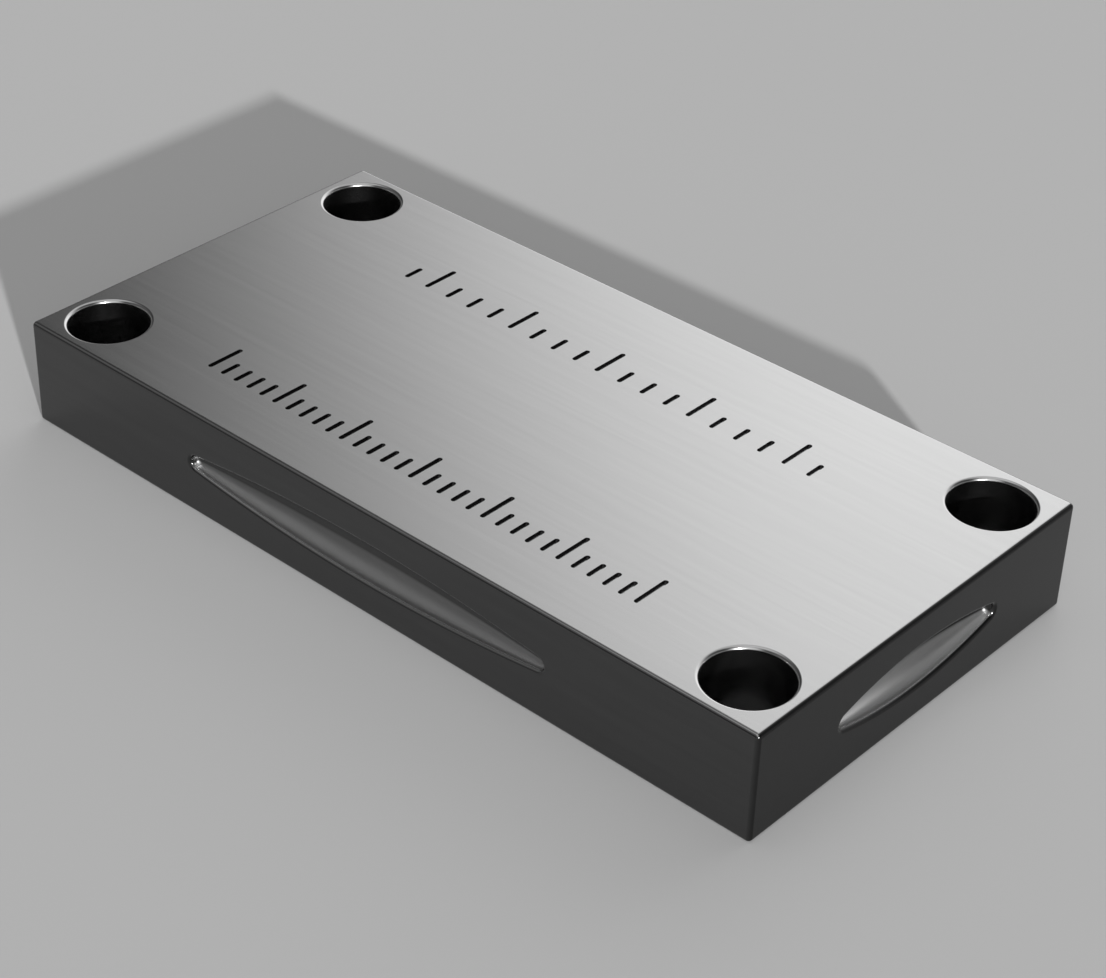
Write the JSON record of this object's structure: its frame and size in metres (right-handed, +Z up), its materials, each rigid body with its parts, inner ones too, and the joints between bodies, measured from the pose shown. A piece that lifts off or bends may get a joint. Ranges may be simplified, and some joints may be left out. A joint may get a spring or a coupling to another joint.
{
  "type": "riser block",
  "caption": "Flat rectangular steel block that raises what stands on it, with a hole in each corner, finger recesses in its sides and rows of graduations on top.",
  "frame": {"origin": "middle of the underside", "axes": "+X along the length, +Y across the width towards the back, +Z up through the thickness"},
  "size_m": [0.1016, 0.0508, 0.0127],
  "materials": {
    "steel": "satin"
  },
  "bodies": {
    "root": {"riser_block": "steel"}
  },
  "joints": []
}
